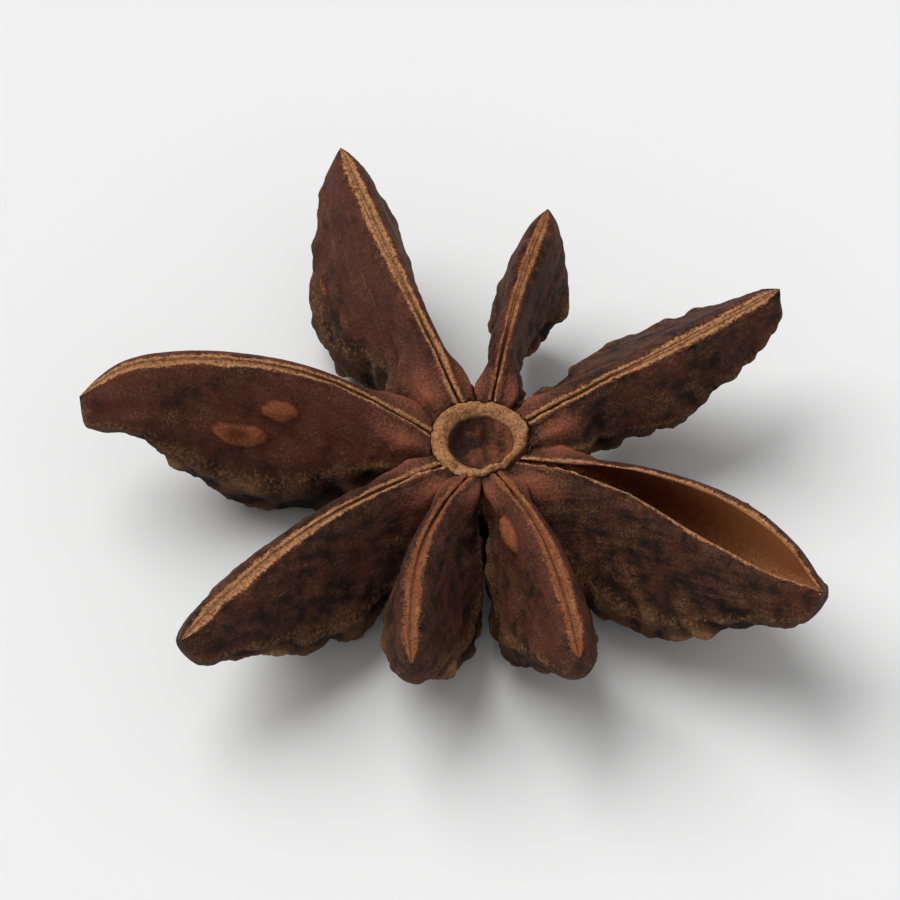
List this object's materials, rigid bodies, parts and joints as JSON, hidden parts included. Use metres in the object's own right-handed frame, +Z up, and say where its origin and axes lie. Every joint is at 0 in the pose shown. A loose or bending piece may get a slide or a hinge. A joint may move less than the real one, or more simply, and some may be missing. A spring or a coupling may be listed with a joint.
{
  "type": "star anise pod",
  "caption": "Dried star-shaped spice pod: boat-shaped carpels round a short pitted column, shut along pale seams, one carpel split open and empty.",
  "frame": {"origin": "centre of the pod's footprint, on the surface it lies on", "axes": "+Z up, out of the seamed side; +X towards the right of the pod as seen from in front, -Y towards the viewer"},
  "size_m": [0.0376, 0.0334, 0.0099],
  "materials": {
    "husk": "dry, wrinkled, dark red-brown husk with paler tan seams"
  },
  "bodies": {
    "root": {"pod": "husk"}
  },
  "joints": []
}
